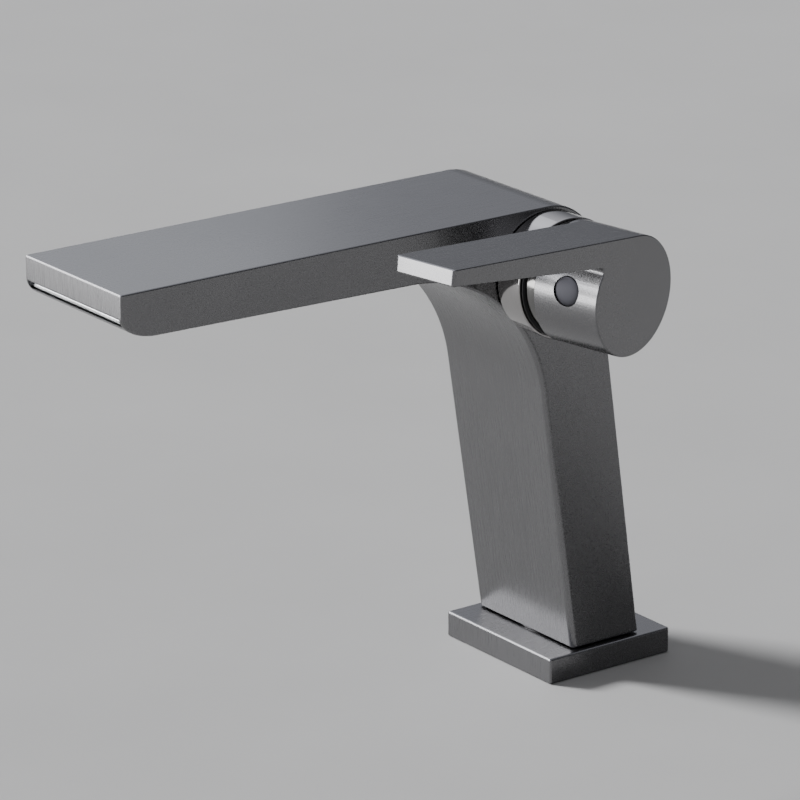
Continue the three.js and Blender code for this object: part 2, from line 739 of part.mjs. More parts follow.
// A wedge behind the hub's rim: the hub would meet the collar there when the handle opens.
function rimRelief() {
  const margin = 5;
  const wedge = new THREE.Shape([
    new THREE.Vector2(HUB_START - margin, 0),
    new THREE.Vector2(HUB_START, 0),
    new THREE.Vector2(
      HUB_START + HUB_RELIEF * (HUB_RADIUS + margin) / HUB_RADIUS, HUB_RADIUS + margin,
    ),
    new THREE.Vector2(HUB_START - margin, HUB_RADIUS + margin),
  ]);
  return upright(wedge, -HUB_RADIUS - margin, HUB_RADIUS + margin, 0, 1);
}

function makeHandle() {
  const inside = HUB_END - HUB_FACE;
  const bossEnd = inside + REACH_THROUGH;
  const stepBore = 12;
  const socket = STEM_WIDTH / 2 + GAP;
  const socketEnd = 18.4;
  const shell = cut(
    join(
      sideways(handleOutline(), BLADE_START, HUB_END, EDGE, HANDLE_ARC_STEPS),
      rodX(HUB_RADIUS, HUB_START, HUB_END - EDGE, 0, 0, ROUND_LARGE),
    ),
    rodX(HUB_BORE, HUB_START - REACH_THROUGH, HUB_BORE_DEPTH, 0, 0, ROUND_LARGE),
    rodX(stepBore, HUB_BORE_DEPTH - REACH_THROUGH, inside, 0, 0, ROUND_MEDIUM),
    rimRelief(),
  );
  const handle = cut(
    join(shell, rodX(BOSS_RADIUS, BOSS_START, bossEnd, 0, 0, ROUND_MEDIUM)),
    block([0, -socket, -socket], [socketEnd, socket, socket]),
    screwLine(SCREW_RADIUS + GAP, -HUB_RADIUS, -GAP),
    screwLine(CAP_RADIUS + GAP, -HUB_RADIUS - 2 * REACH_THROUGH, -CAP_POCKET_FLOOR, ROUND_CAP),
  );
  place(tilting, 'handle', handle, 'gunmetal');
}

// A cylinder on the grub screw's axis, between two y values of the handle's frame.
function screwLine(radius, from, to, sides = ROUND_SMALL) {
  return bore(radius, [SCREW_X, from, SCREW_Z], [SCREW_X, to, SCREW_Z], sides);
}

// The grub screw that holds the handle on the stem, and the cap that hides it.
function makeHandleScrew() {
  const tip = -STEM_WIDTH / 2 - GAP;
  const head = tip - SCREW_LENGTH;
  const screw = cut(
    screwLine(SCREW_RADIUS, head, tip),
    screwLine(SCREW_SOCKET_RADIUS, head - REACH_THROUGH, head + SCREW_SOCKET_DEPTH, HEX_SIDES),
  );
  place(tilting, 'handle_grub_screw', screw, 'steel');

  const capFace = -HUB_RADIUS + CAP_INSET;
  const cap = screwLine(CAP_RADIUS, capFace, capFace + CAP_LENGTH, ROUND_CAP);
  place(tilting, 'screw_cap', cap, 'gunmetal');
}

// ---------------------------------------------------------------- base and deck fixings

function makeBase() {
  const gasketInner = 16.5;
  const gasketOuter = 20;
  const grooveDepth = 2.5;
  const plate = upright(
    cornerCutRectangle(BASE_WIDTH, BASE_DEPTH, EDGE), 0, BASE_HEIGHT, EDGE, 1,
  );
  const groove = solid(turnedZ(
    tubeProfile(gasketInner, gasketOuter, -REACH_THROUGH, grooveDepth), ROUND_MEDIUM,
  ));
  const hole = rodZ(
    FOOT_RADIUS + GAP, -REACH_THROUGH, BASE_HEIGHT + REACH_THROUGH, 0, 0, ROUND_MEDIUM,
  );
  place(faucet, 'base_flange', cut(plate, groove, hole), 'gunmetal');

  const gasket = turnedZ(
    tubeProfile(gasketInner + GAP, gasketOuter - GAP, GAP, grooveDepth - GAP), ROUND_MEDIUM,
  );
  place(faucet, 'base_gasket', gasket, 'rubber');
}

// Threaded nipples that the supply hoses screw onto.
function makeInlets() {
  const waterway = 2.8;
  const hexBore = waterway + REACH_THROUGH;
  const hexRadius = 5.9;
  const hexHeight = 3.2;
  const hexTop = FOOT_BOTTOM - GAP;
  const hexBottom = hexTop - hexHeight;
  const tailBottom = -22;
  const threadTop = 5;
  const ringZ = 1;
  const ringSection = 0.5;
  const ringSlack = 0.1;
  const grooveRadius = INLET_THREAD - 2 * ringSection;
  const ringRadius = grooveRadius + ringSection + ringSlack;
  for (const [name, side] of [['hot', -1], ['cold', 1]]) {
    const x = side * INLET_X;
    const spindle = solid(turnedZ([
      [waterway, tailBottom],
      [INLET_THREAD, tailBottom],
      [INLET_THREAD, ringZ - 2 * ringSection],
      [grooveRadius, ringZ - 2 * ringSection],
      [grooveRadius, ringZ + 2 * ringSection],
      [INLET_THREAD, ringZ + 2 * ringSection],
      [INLET_THREAD, threadTop],
      [waterway, threadTop],
      [waterway, tailBottom],
    ], ROUND_SMALL).translate(x, 0, 0));
    const hexagon = solid(
      turnedZ(tubeProfile(hexBore, hexRadius, hexBottom, hexTop), HEX_SIDES).translate(x, 0, 0),
    );
    place(faucet, `${name}_inlet_nipple`, join(spindle, hexagon), 'brass');

    const ring = turnedZ(ringProfile(ringRadius, ringSection, ringZ), ROUND_RING);
    place(faucet, `${name}_inlet_o_ring`, ring.translate(x, 0, 0), 'rubber');
  }
}

// A U-shaped plate that slides past the hoses and sits on the stud.
function horseshoe(name, from, to, finish) {
  const outer = 22;
  const slotHalf = 12.5;
  const slotFront = -3;
  const outline = new THREE.Shape();
  const endAngle = Math.acos(slotHalf / outer);
  outline.absarc(0, 0, outer, Math.PI - endAngle, 2 * Math.PI + endAngle, false);
  outline.lineTo(slotHalf, slotFront);
  outline.lineTo(-slotHalf, slotFront);
  const plate = upright(outline, from, to, 0, WASHER_ARC_STEPS);
  const hole = rodZ(STUD_RADIUS + GAP, from - REACH_THROUGH, to + REACH_THROUGH, 0, STUD_Y);
  place(faucet, name, cut(plate, hole), finish);
}

function makeDeckFixings() {
  const rubberTop = -DECK_THICKNESS - GAP;
  const rubberBottom = rubberTop - RUBBER_WASHER_THICKNESS;
  const steelTop = rubberBottom - GAP;
  const steelBottom = steelTop - STEEL_WASHER_THICKNESS;
  const nutTop = steelBottom - GAP;
  const nutHeight = 5;
  const nutRadius = 5.8;
  horseshoe('rubber_horseshoe_washer', rubberBottom, rubberTop, 'rubber');
  horseshoe('steel_horseshoe_washer', steelBottom, steelTop, 'steel');

  const stud = turnedZ(rodProfile(STUD_RADIUS, STUD_BOTTOM, STUD_HOLE_TOP - GAP), ROUND_SMALL);
  place(faucet, 'mounting_stud', stud.translate(0, STUD_Y, 0), 'steel');

  const hexagon = solid(turnedZ(rodProfile(nutRadius, nutTop - nutHeight, nutTop), HEX_SIDES));
  const thread = rodZ(STUD_RADIUS + GAP, nutTop - nutHeight - REACH_THROUGH, nutTop + REACH_THROUGH);
  place(faucet, 'mounting_nut', geometryOf(cut(hexagon, thread)).translate(0, STUD_Y, 0), 'brass');
}

makeBody();
makeOutlet();
makeCollar();
makeDome();
makeRetainingNut();
makeCartridgeShell();
makeCeramicDiscs();
makeDriver();
makeCarrier();
makeStem();
makeHandle();
makeHandleScrew();
makeBase();
makeInlets();
makeDeckFixings();

export default faucet;
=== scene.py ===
"""Looks for the basin mixer: fine meshes, finishes, floor, light and camera around the CAD frame."""

import json
import math

import bmesh
import bpy
from mathutils import Matrix, Vector


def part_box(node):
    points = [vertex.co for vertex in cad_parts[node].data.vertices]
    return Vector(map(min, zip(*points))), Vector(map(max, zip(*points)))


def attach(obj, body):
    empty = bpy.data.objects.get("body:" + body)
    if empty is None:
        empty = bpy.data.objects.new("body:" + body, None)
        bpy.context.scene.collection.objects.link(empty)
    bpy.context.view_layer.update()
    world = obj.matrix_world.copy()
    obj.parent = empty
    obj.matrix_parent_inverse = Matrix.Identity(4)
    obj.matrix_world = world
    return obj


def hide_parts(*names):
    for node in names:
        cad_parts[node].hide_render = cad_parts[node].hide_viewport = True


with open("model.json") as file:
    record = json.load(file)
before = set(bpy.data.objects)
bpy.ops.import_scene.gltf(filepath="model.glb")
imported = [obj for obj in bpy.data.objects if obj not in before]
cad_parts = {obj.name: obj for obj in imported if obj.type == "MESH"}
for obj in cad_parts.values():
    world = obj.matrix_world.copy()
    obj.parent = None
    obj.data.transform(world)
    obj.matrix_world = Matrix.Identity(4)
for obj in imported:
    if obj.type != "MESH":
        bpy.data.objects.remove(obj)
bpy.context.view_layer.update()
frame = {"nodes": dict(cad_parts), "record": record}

MM = 0.001
RECORD = frame["record"]
JOINTS = {joint["name"]: joint for joint in RECORD["behaviour"]["joints"]}

# ---------------------------------------------------------------- places taken from the frame

BODY_LOW, BODY_HIGH = (Vector(corner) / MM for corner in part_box("faucet_body"))
FLANGE_HIGH = Vector(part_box("base_flange")[1]) / MM
COLLAR_LOW, COLLAR_HIGH = (Vector(corner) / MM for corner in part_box("trim_collar"))
WASHER_LOW, WASHER_HIGH = (Vector(corner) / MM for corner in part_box("collar_washer"))
LIP_LOW, LIP_HIGH = (Vector(corner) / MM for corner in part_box("waterfall_lip"))

PIVOT = Vector(JOINTS["flow_tilt"]["pos_m"])
TILT_AXIS = Vector(JOINTS["flow_tilt"]["axis"])
HANDLE_SWING = -math.radians(JOINTS["flow_tilt"]["range_deg"][0])
HANDLE_RAISE = math.atan2(TILT_AXIS.y, TILT_AXIS.z)
AXIS_Y = PIVOT.y / MM
AXIS_Z = PIVOT.z / MM

# Turned pieces on the cartridge axis are made about x, with the origin on that axis.
CARTRIDGE_FRAME = Matrix.Translation((0, PIVOT.y, PIVOT.z))
HANDLE_FRAME = (
    Matrix.Translation(PIVOT)
    @ Matrix.Rotation(-HANDLE_RAISE, 4, "X")
    @ Matrix.Rotation(HANDLE_SWING, 4, "Z")
)

# ---------------------------------------------------------------- driving dimensions, millimetres

# PAST is how far a cutting tool goes past a surface, and OVERLAP how far joined solids sink in.
GAP = 0.3
EDGE_ROUNDING = 0.55
COLUMN_ROUNDING = 1.7
PLATE_ROUNDING = 0.7
HANDLE_ROUNDING = 0.4
ROUNDING_STEPS = 4
SMOOTH_ANGLE = math.radians(32)
ROUNDED_ANGLE = math.radians(24)
HUB_SIDES = 128
BODY_SIDES = 96
SMALL_SIDES = 64
PAST = 1.0
OVERLAP = 2.0

FOOT_HALF = 22.7
SPOUT_HALF = -BODY_LOW.x
COLUMN_DEPTH = 24.6
COLUMN_LEAN = math.radians(8.7)
SPOUT_REACH = -BODY_LOW.y
SPOUT_TOP = BODY_HIGH.z
SPOUT_UNDERSIDE = 131.0
NOSE_UNDERSIDE = 132.6
NOSE_LENGTH = 12.0
NOSE_FACE_HEIGHT = 6.5
THROAT_RADIUS = 48.5
SHOULDER_RADIUS = SPOUT_TOP - AXIS_Z
FOOT_BOTTOM = BODY_LOW.z
FOOT_RADIUS = 12.0
GROOVE_INNER = 16.5
GROOVE_OUTER = 20.0
GROOVE_DEPTH = 2.5
NECK_END = BODY_HIGH.x
NECK_RADIUS = 15.0
CHAMBER_RADIUS = 13.2
CHAMBER_FLOOR = 2.4
MOUTH_HALF = LIP_HIGH.x + GAP
MOUTH_LOW = LIP_LOW.z - GAP
MOUTH_HIGH = 139.0
MOUTH_REAR = LIP_HIGH.y + GAP
CHANNEL_HALF = 16.0
CHANNEL_LOW = 135.0
CHANNEL_HIGH = 141.5
CHANNEL_REAR = -40.0
LIP_ROUNDING = 0.35

HUB_RADIUS = 17.6
HUB_START = 0.5
HUB_END = 22.5
HUB_BORE = 16.6
HUB_BORE_DEPTH = 16.0
HUB_RELIEF = 7.5
BLADE_START = 2.2
BLADE_LENGTH = 83.8
BLADE_TIP = 4.7
BLADE_ROOT = 7.7
BLADE_FILLET = 1.6
BLADE_CORNER = 1.0
STEP_RADIUS = 12.0
HUB_WALL = 2.3
BOSS_RADIUS = 6.5
BOSS_START = 9.5
SOCKET_HALF = 3.8
SOCKET_END = 18.4
SCREW_X = 11.6
SCREW_Z = 1.2
SCREW_HOLE_RADIUS = 2.6
CAP_RADIUS = 4.2
CAP_HEIGHT = 2.8
CAP_CROWN = 0.35
CAP_SHOULDER = 0.45
CAP_LIFT = 0.1
CAP_CHAMFER = 0.3
CAP_HOLE_FLOOR = -14.0
CAP_PROUD = 0.2

DOME_RADIUS = 16.2
DOME_WALL = 1.5
DOME_HEIGHT = 8.0
SKIRT_START = 32.0
SKIRT_BORE = 13.5
COLLAR_BORE = 15.3
COLLAR_ROUNDING = 0.4
COLLAR_BORE_ROUNDING = 0.3
WASHER_ROUNDING = 0.12

# ---------------------------------------------------------------- outlines


def arc(centre, radii, start, end, steps):
    """Points of an elliptical arc, both ends included."""
    points = []
    for i in range(steps + 1):
        angle = start + (end - start) * i / steps
        points.append((centre[0] + radii[0] * math.cos(angle), centre[1] + radii[1] * math.sin(angle)))
    return points


def filleted(points, radii, steps=ROUNDING_STEPS):
    """A closed outline whose corners are rounded by the radii listed, one for each point."""
    result = []
    count = len(points)
    for i, (point, radius) in enumerate(zip(points, radii)):
        corner = Vector(point)
        if radius <= 0:
            result.append(tuple(corner))
            continue
        before = (Vector(points[i - 1]) - corner).normalized()
        after = (Vector(points[(i + 1) % count]) - corner).normalized()
        half = before.angle(after) / 2
        run = radius / math.tan(half)
        centre = corner + (before + after).normalized() * (radius / math.sin(half))
        first = corner + before * run - centre
        last = corner + after * run - centre
        turn = first.angle_signed(last)
        for k in range(steps + 1):
            angle = -turn * k / steps
            cos, sin = math.cos(angle), math.sin(angle)
            spoke = Vector((first.x * cos - first.y * sin, first.x * sin + first.y * cos))
            result.append(tuple(centre + spoke))
    return result


def body_outline():
    """The side of the column and spout, in y and z."""
    foot = FLANGE_HIGH.z + GAP
    front = -COLUMN_DEPTH / 2
    rear = COLUMN_DEPTH / 2
    throat_z = SPOUT_UNDERSIDE - THROAT_RADIUS
    reach = (THROAT_RADIUS + (throat_z - foot) * math.sin(COLUMN_LEAN)) / math.cos(COLUMN_LEAN)
    throat = (front - reach, throat_z)
    nose = (-SPOUT_REACH + NOSE_LENGTH, SPOUT_TOP - NOSE_FACE_HEIGHT)
    away = Vector((AXIS_Y - rear, AXIS_Z - foot))
    rear_lean = math.atan2(-away.x, away.y) - math.asin(SHOULDER_RADIUS / away.length)
    radii = (THROAT_RADIUS, THROAT_RADIUS)
    shoulder = (SHOULDER_RADIUS, SHOULDER_RADIUS)
    nose_radii = (NOSE_LENGTH, nose[1] - NOSE_UNDERSIDE)
    return (
        [(front, foot)]
        + arc(throat, radii, COLUMN_LEAN, math.pi / 2, 48)
        + arc(nose, nose_radii, 1.5 * math.pi, math.pi, 24)
        + [(-SPOUT_REACH, SPOUT_TOP)]
        + arc((AXIS_Y, AXIS_Z), shoulder, math.pi / 2, rear_lean, 40)
        + [(rear, foot)]
    )


def handle_outline():
    """The side of the hub and blade, in the handle's y and z.

    The blade's underside runs from the tip to the hub, where a fillet touches both."""
    underside = HUB_RADIUS - BLADE_ROOT
    root = Vector((-math.sqrt(HUB_RADIUS**2 - underside**2), underside))
    tip = Vector((-BLADE_LENGTH, HUB_RADIUS - BLADE_TIP))
    along = (root - tip).normalized()
    down = Vector((along.y, -along.x))
    on_line = tip + down * BLADE_FILLET
    middle = -on_line.dot(along)
    reach = HUB_RADIUS + BLADE_FILLET
    run = middle - math.sqrt(middle**2 - on_line.length_squared + reach**2)
    centre = on_line + along * run
    hub_angle = math.atan2(centre.y, centre.x)
    line_angle = math.atan2(-down.y, -down.x)
    hub = arc((0, 0), (HUB_RADIUS, HUB_RADIUS), math.pi / 2, hub_angle - 2 * math.pi, 96)
    fillet = arc(centre, (BLADE_FILLET, BLADE_FILLET), hub_angle - math.pi, line_angle, 10)
    return [(-BLADE_LENGTH, HUB_RADIUS)] + hub + fillet[1:] + [tuple(tip)]


# ---------------------------------------------------------------- meshes


def object_from(name, bm):
    """A new object holding the bmesh, given in millimetres."""
    bmesh.ops.recalc_face_normals(bm, faces=bm.faces)
    bm.transform(Matrix.Scale(MM, 4))
    mesh = bpy.data.meshes.new(name)
    bm.to_mesh(mesh)
    bm.free()
    obj = bpy.data.objects.new(name, mesh)
    bpy.context.collection.objects.link(obj)
    return obj


def rounded(obj, radius_at, angle=ROUNDED_ANGLE):
    """Rounds each edge sharper than the angle by the radius found for its middle."""
    bm = bmesh.new()
    bm.from_mesh(obj.data)
    weights = bm.edges.layers.float.new("bevel_weight_edge")
    sharp = [edge for edge in bm.edges if edge.calc_face_angle(0) > angle]
    radii = [radius_at((edge.verts[0].co + edge.verts[1].co) / 2 / MM) for edge in sharp]
    widest = max(radii)
    for edge, radius in zip(sharp, radii):
        edge[weights] = radius / widest
    bm.to_mesh(obj.data)
    bm.free()
    bevel = obj.modifiers.new("bevel", "BEVEL")
    bevel.limit_method = "WEIGHT"
    bevel.width = widest * MM
    bevel.segments = ROUNDING_STEPS
    bevel.use_clamp_overlap = False
    bake_modifiers(obj)
    return obj


def bake_modifiers(obj):
    """Replaces the mesh by the one that the modifiers give."""
    graph = bpy.context.evaluated_depsgraph_get()
    mesh = bpy.data.meshes.new_from_object(obj.evaluated_get(graph))
    obj.modifiers.clear()
    obj.data = mesh


def prism(name, outline, start, end, axis="X"):
    """An outline given a thickness along x (outline in y, z) or z (outline in x, y)."""
    bm = bmesh.new()
    if axis == "X":
        corners = [bm.verts.new((start, u, v)) for u, v in outline]
        step = Vector((end - start, 0, 0))
    else:
        corners = [bm.verts.new((u, v, start)) for u, v in outline]
        step = Vector((0, 0, end - start))
    base = bm.faces.new(corners)
    extruded = bmesh.ops.extrude_face_region(bm, geom=[base])
    moved = [item for item in extruded["geom"] if isinstance(item, bmesh.types.BMVert)]
    bmesh.ops.translate(bm, verts=moved, vec=step)
    return object_from(name, bm)


def turned(name, profile, sides=BODY_SIDES, axis="X"):
    """A closed profile of (radius, height) turned about the x or z axis."""
    bm = bmesh.new()
    verts = []
    for radius, height in profile:
        point = (height, 0, radius) if axis == "X" else (radius, 0, height)
        verts.append(bm.verts.new(point))
    edges = [bm.edges.new((verts[i], verts[(i + 1) % len(verts)])) for i in range(len(verts))]
    spun_about = (1, 0, 0) if axis == "X" else (0, 0, 1)
    bmesh.ops.spin(
        bm, geom=edges, cent=(0, 0, 0), axis=spun_about, angle=2 * math.pi, steps=sides,
        use_duplicate=False,
    )
    bmesh.ops.remove_doubles(bm, verts=bm.verts, dist=1e-4)
    loose = [edge for edge in bm.edges if not edge.link_faces]
    bmesh.ops.delete(bm, geom=loose, context="EDGES")
    return object_from(name, bm)


def rod_between(name, radius, start, end, sides=48):
    """A plain cylinder between two points."""
    run = Vector(end) - Vector(start)
    bm = bmesh.new()
    bmesh.ops.create_cone(
        bm, cap_ends=True, segments=sides, radius1=radius, radius2=radius, depth=run.length,
    )
    turn = Vector((0, 0, 1)).rotation_difference(run.normalized()).to_matrix().to_4x4()
    middle = Matrix.Translation((Vector(start) + Vector(end)) / 2)
    bm.transform(middle @ turn)
    return object_from(name, bm)


def block(name, low, high, radius=0.0):
    """A box between two corners."""
    low, high = Vector(low), Vector(high)
    bm = bmesh.new()
    bmesh.ops.create_cube(bm, size=1)
    size = Matrix.Diagonal((*(high - low), 1))
    bm.transform(Matrix.Translation((low + high) / 2) @ size)
    obj = object_from(name, bm)
    if radius > 0:
        rounded(obj, lambda middle: radius)
    return obj


def combine(target, operation, tools):
    """Applies exact booleans to the target and deletes the tools."""
    for tool in tools:
        modifier = target.modifiers.new("boolean", "BOOLEAN")
        modifier.operation = operation
        modifier.solver = "EXACT"
        modifier.object = tool
    bake_modifiers(target)
    for tool in tools:
        bpy.data.objects.remove(tool)
    return target


def smooth(obj, angle=SMOOTH_ANGLE):
    """Smooth shading that keeps sharp edges and flat faces."""
    mesh = obj.data
    mesh.shade_smooth()
    mesh.set_sharp_from_angle(angle=angle)
    weighted = obj.modifiers.new("flat_faces", "WEIGHTED_NORMAL")
    weighted.keep_sharp = True
    weighted.weight = 80
    return obj


def dress(obj, body, material, slot, *nodes, place=None):
    """Finishes a piece: shading, place, material, body and the nodes that it stands for. The slot
    argument is not used.
    """
    smooth(obj)
    if place is not None:
        obj.matrix_world = place
    obj.data.materials.clear()
    obj.data.materials.append(material)
    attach(obj, body)
    if nodes:
        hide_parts(*nodes)
    return obj


# ---------------------------------------------------------------- materials


class Graph:
    """A short way to build a material's nodes."""

    def __init__(self, name):
        self.material = bpy.data.materials.new(name)
        self.material.use_nodes = True
        self.tree = self.material.node_tree
        self.shader = self.tree.nodes["Principled BSDF"]

    def node(self, kind, **settings):
        node = self.tree.nodes.new(kind)
        for key, value in settings.items():
            setattr(node, key, value)
        return node

    def link(self, output, socket):
        self.tree.links.new(output, socket)

    def mapped(self, scale, rotation=(0, 0, 0)):
        coordinates = self.node("ShaderNodeTexCoord")
        mapping = self.node("ShaderNodeMapping")
        mapping.inputs["Scale"].default_value = scale
        mapping.inputs["Rotation"].default_value = rotation
        self.link(coordinates.outputs["Object"], mapping.inputs["Vector"])
        return mapping.outputs["Vector"]

    def noise(self, vector, scale, detail=3.0, roughness=0.55):
        node = self.node("ShaderNodeTexNoise")
        node.inputs["Scale"].default_value = scale
        node.inputs["Detail"].default_value = detail
        node.inputs["Roughness"].default_value = roughness
        self.link(vector, node.inputs["Vector"])
        return node.outputs["Fac"]

    def remap(self, value, low, high, start=0.3, end=0.7):
        node = self.node("ShaderNodeMapRange")
        node.inputs["From Min"].default_value = start
        node.inputs["From Max"].default_value = end
        node.inputs["To Min"].default_value = low
        node.inputs["To Max"].default_value = high
        self.link(value, node.inputs["Value"])
        return node.outputs["Result"]

    def maths(self, operation, first, second):
        node = self.node("ShaderNodeMath", operation=operation)
        for socket, value in zip(node.inputs, (first, second)):
            if isinstance(value, (int, float)):
                socket.default_value = value
            else:
                self.link(value, socket)
        return node.outputs["Value"]

    def blend(self, factor, first, second):
        node = self.node("ShaderNodeMix", data_type="RGBA")
        self.link(factor, node.inputs["Factor"])
        node.inputs["A"].default_value = (*first, 1)
        node.inputs["B"].default_value = (*second, 1)
        return node.outputs["Result"]

    def bump(self, height, distance, strength=1.0):
        node = self.node("ShaderNodeBump")
        node.inputs["Strength"].default_value = strength
        node.inputs["Distance"].default_value = distance
        self.link(height, node.inputs["Height"])
        self.link(node.outputs["Normal"], self.shader.inputs["Normal"])


def shade(colour, factor):
    return tuple(channel * factor for channel in colour)


def brushed_metal(name, colour, roughness, grain, depth=2e-6):
    """Coated metal with fine brushing, faint clouding and finger-sized changes of gloss.

    grain is the noise scale along x, y and z: small along the brushing, large across it.
    Faces square to x would cut those streaks lengthways, so they get an even fine grain."""
    graph = Graph(name)
    shader = graph.shader
    shader.inputs["Metallic"].default_value = 1.0
    streaks = graph.noise(graph.mapped(grain), 1.0, 4.0, 0.6)
    speckle = graph.noise(graph.mapped((1, 1, 1)), SPECKLE_GRAIN, 2.0, 0.5)
    facing = graph.node("ShaderNodeSeparateXYZ")
    graph.link(graph.node("ShaderNodeTexCoord").outputs["Normal"], facing.inputs["Vector"])
    square_to_x = graph.remap(graph.maths("ABSOLUTE", facing.outputs["X"], 0), 0.0, 1.0, 0.6, 0.9)
    change = graph.maths("MULTIPLY", graph.maths("SUBTRACT", speckle, streaks), square_to_x)
    fine = graph.maths("ADD", streaks, change)
    cloud = graph.noise(graph.mapped((1, 1, 1)), 45.0, 3.0)
    smudge = graph.noise(graph.mapped((1, 1, 1)), 14.0, 2.0)

    fine_part = graph.maths("MULTIPLY", fine, 0.6)
    cloud_part = graph.maths("MULTIPLY", cloud, 0.4)
    tone = graph.remap(graph.maths("ADD", fine_part, cloud_part), 0.0, 1.0)
    graph.link(graph.blend(tone, shade(colour, 0.95), shade(colour, 1.05)),
               shader.inputs["Base Color"])

    streaked = graph.remap(fine, roughness - 0.03, roughness + 0.04)
    varied = graph.maths("ADD", streaked, graph.remap(smudge, -0.02, 0.025))
    graph.link(varied, shader.inputs["Roughness"])
    graph.bump(fine, depth)
    return graph.material


def machined_metal(name, colour, roughness, grain):
    """Uncoated metal with turning marks and slight tarnish."""
    graph = Graph(name)
    shader = graph.shader
    shader.inputs["Metallic"].default_value = 1.0
    marks = graph.noise(graph.mapped(grain), 1.0, 3.0)
    tarnish = graph.noise(graph.mapped((1, 1, 1)), 90.0, 4.0)
    graph.link(graph.blend(graph.remap(tarnish, 0, 1), shade(colour, 0.8), shade(colour, 1.08)),
               shader.inputs["Base Color"])
    graph.link(graph.remap(marks, roughness - 0.06, roughness + 0.08), shader.inputs["Roughness"])
    graph.bump(marks, 8e-6)
    return graph.material


def moulded(name, colour, roughness, grain=900.0, depth=6e-6):
    """Plastic or rubber with a fine moulded grain and a faint bloom."""
    graph = Graph(name)
    shader = graph.shader
    pores = graph.noise(graph.mapped((1, 1, 1)), grain, 2.0)
    bloom = graph.noise(graph.mapped((1, 1, 1)), 120.0, 3.0)
    graph.link(graph.blend(graph.remap(bloom, 0, 1), shade(colour, 0.85), shade(colour, 1.12)),
               shader.inputs["Base Color"])
    graph.link(graph.remap(pores, roughness - 0.08, roughness + 0.08), shader.inputs["Roughness"])
    graph.bump(pores, depth)
    return graph.material


def lapped_ceramic(name, colour):
    """Dense lapped alumina with faint clouding."""
    graph = Graph(name)
    shader = graph.shader
    cloud = graph.noise(graph.mapped((1, 1, 1)), 200.0, 4.0)
    scuff = graph.noise(graph.mapped((900, 900, 900)), 1.0, 2.0)
    graph.link(graph.blend(graph.remap(cloud, 0, 1), shade(colour, 0.95), shade(colour, 1.03)),
               shader.inputs["Base Color"])
    graph.link(graph.remap(scuff, 0.10, 0.2), shader.inputs["Roughness"])
    graph.bump(scuff, 1e-6)
    return graph.material


SPECKLE_GRAIN = 2200.0
GUNMETAL = (0.19, 0.189, 0.193)
BODY_METAL = brushed_metal("gunmetal_body", GUNMETAL, 0.27, (3500, 90, 90))
HANDLE_METAL = brushed_metal("gunmetal_handle", GUNMETAL, 0.24, (3500, 90, 3500))
SATIN_METAL = brushed_metal("satin_metal", (0.36, 0.35, 0.345), 0.11, (2600, 160, 160), 1e-6)
# The dome is the collar's satin metal with a darker base colour: painted shade, not a different finish.
DOME_PAINTED_SHADE_METAL = brushed_metal("satin_metal_dome_painted_shade", (0.17, 0.168, 0.165), 0.12, (2600, 160, 160), 1e-6)
CAP_METAL = brushed_metal("dark_gunmetal", (0.035, 0.035, 0.04), 0.36, (2500, 2500, 300))
BRASS = machined_metal("raw_brass", (0.62, 0.45, 0.19), 0.28, (700, 700, 2500))
STEEL = machined_metal("stainless_steel", (0.56, 0.57, 0.58), 0.24, (200, 2200, 2200))
RUBBER = moulded("black_rubber", (0.020, 0.020, 0.021), 0.6)
WHITE_PLASTIC = moulded("white_plastic", (0.72, 0.70, 0.64), 0.42)
GREY_PLASTIC = moulded("grey_plastic", (0.075, 0.075, 0.09), 0.4)
CERAMIC = lapped_ceramic("alumina_ceramic", (0.86, 0.84, 0.80))

SLOT_MATERIALS = {
    "gunmetal": BODY_METAL,
    "dark_gunmetal": CAP_METAL,
    "satin_metal": SATIN_METAL,
    "raw_brass": BRASS,
    "stainless_steel": STEEL,
    "black_rubber": RUBBER,
    "white_plastic": WHITE_PLASTIC,
    "grey_plastic": GREY_PLASTIC,
    "alumina_ceramic": CERAMIC,
}

# ---------------------------------------------------------------- body and base


def body_half_width(z):
    """The casting is narrower at the foot than at the spout."""
    foot = FLANGE_HIGH.z + GAP
    return FOOT_HALF + (SPOUT_HALF - FOOT_HALF) * (z - foot) / (SPOUT_TOP - foot)


def body_rounding(middle):
    """The column's upright front edges are rounder than the rest, and ease off in the throat."""
    foot = FLANGE_HIGH.z + GAP
    in_front = middle.y < COLUMN_DEPTH / -2 - (middle.z - foot) * math.tan(COLUMN_LEAN) + 1
    if not in_front or middle.z > SPOUT_UNDERSIDE + 0.5 or middle.z < foot + 0.5:
        return EDGE_ROUNDING
    below_spout = (SPOUT_UNDERSIDE - middle.z) / THROAT_RADIUS
    return EDGE_ROUNDING + (COLUMN_ROUNDING - EDGE_ROUNDING) * min(1, 1.6 * below_spout)


